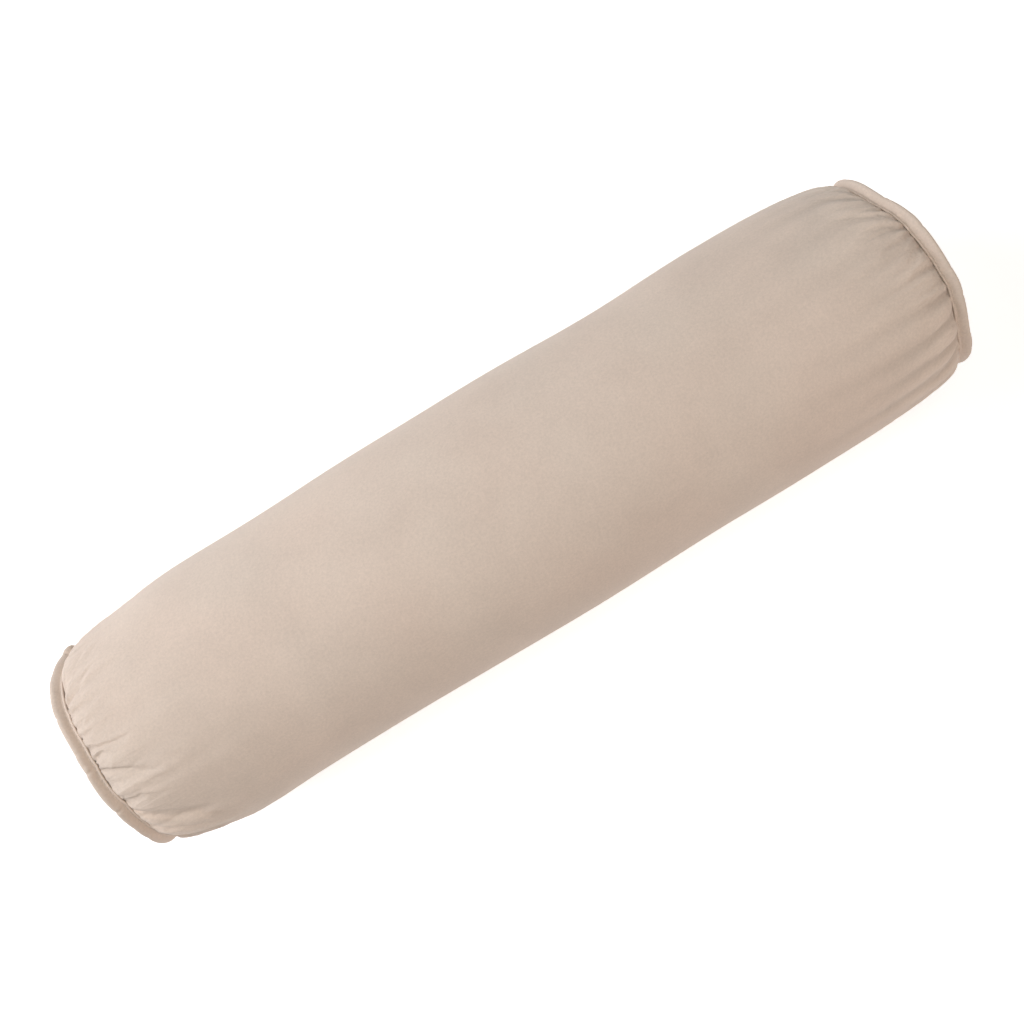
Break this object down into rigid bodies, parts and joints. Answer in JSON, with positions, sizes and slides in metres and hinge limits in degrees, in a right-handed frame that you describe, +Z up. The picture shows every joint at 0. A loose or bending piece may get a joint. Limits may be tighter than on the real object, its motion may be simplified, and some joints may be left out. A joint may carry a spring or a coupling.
{
  "type": "bolster pillow",
  "caption": "Round bolster pillow: zipped cotton cover gathered into bound ends over a fibre-filled inner pillow.",
  "frame": {"origin": "on the surface that the bolster lies on, under the middle of its length", "axes": "+X along the bolster, +Z up; the zip is on the +Y side, 40 degrees below the horizontal"},
  "size_m": [0.6, 0.1594, 0.1557],
  "materials": {
    "cover_cotton": "beige brushed cotton",
    "binding_cotton": "the same beige cotton, folded and pressed",
    "thread": "matching sewing thread",
    "zip_tape": "woven polyester tape",
    "zip_coil": "nylon coil",
    "zip_metal": "satin nickel",
    "liner_cotton": "undyed cotton",
    "filling": "white polyester fibre"
  },
  "bodies": {
    "bolster": {"cover_tube": "cover_cotton", "left_end_panel": "cover_cotton", "right_end_panel": "cover_cotton", "left_binding": "binding_cotton", "right_binding": "binding_cotton", "left_needle_thread": "thread", "right_needle_thread": "thread", "left_bobbin_thread": "thread", "right_bobbin_thread": "thread", "zip_thread_upper": "thread", "zip_thread_lower": "thread", "zip_tape_upper": "zip_tape", "zip_tape_lower": "zip_tape", "zip_coil_upper": "zip_coil", "zip_coil_lower": "zip_coil", "zip_top_stop_upper": "zip_metal", "zip_top_stop_lower": "zip_metal", "zip_bottom_stop": "zip_metal", "liner_tube": "liner_cotton", "liner_left_end": "liner_cotton", "liner_right_end": "liner_cotton", "filling": "filling"},
    "slider": {"zip_slider": "zip_metal"},
    "pull_tab": {"zip_pull_tab": "zip_metal"}
  },
  "joints": [
    {"name": "zip_slide", "type": "slide", "parent": "bolster", "child": "slider", "axis": [-1, 0, 0], "range_m": [0, 0.3705]},
    {"name": "zip_pull_swing", "type": "hinge", "parent": "slider", "child": "pull_tab", "pos_m": [0.18525, 0.06327, 0.02291], "axis": [0, 0.6428, 0.766], "range_deg": [-90, 90]}
  ]
}
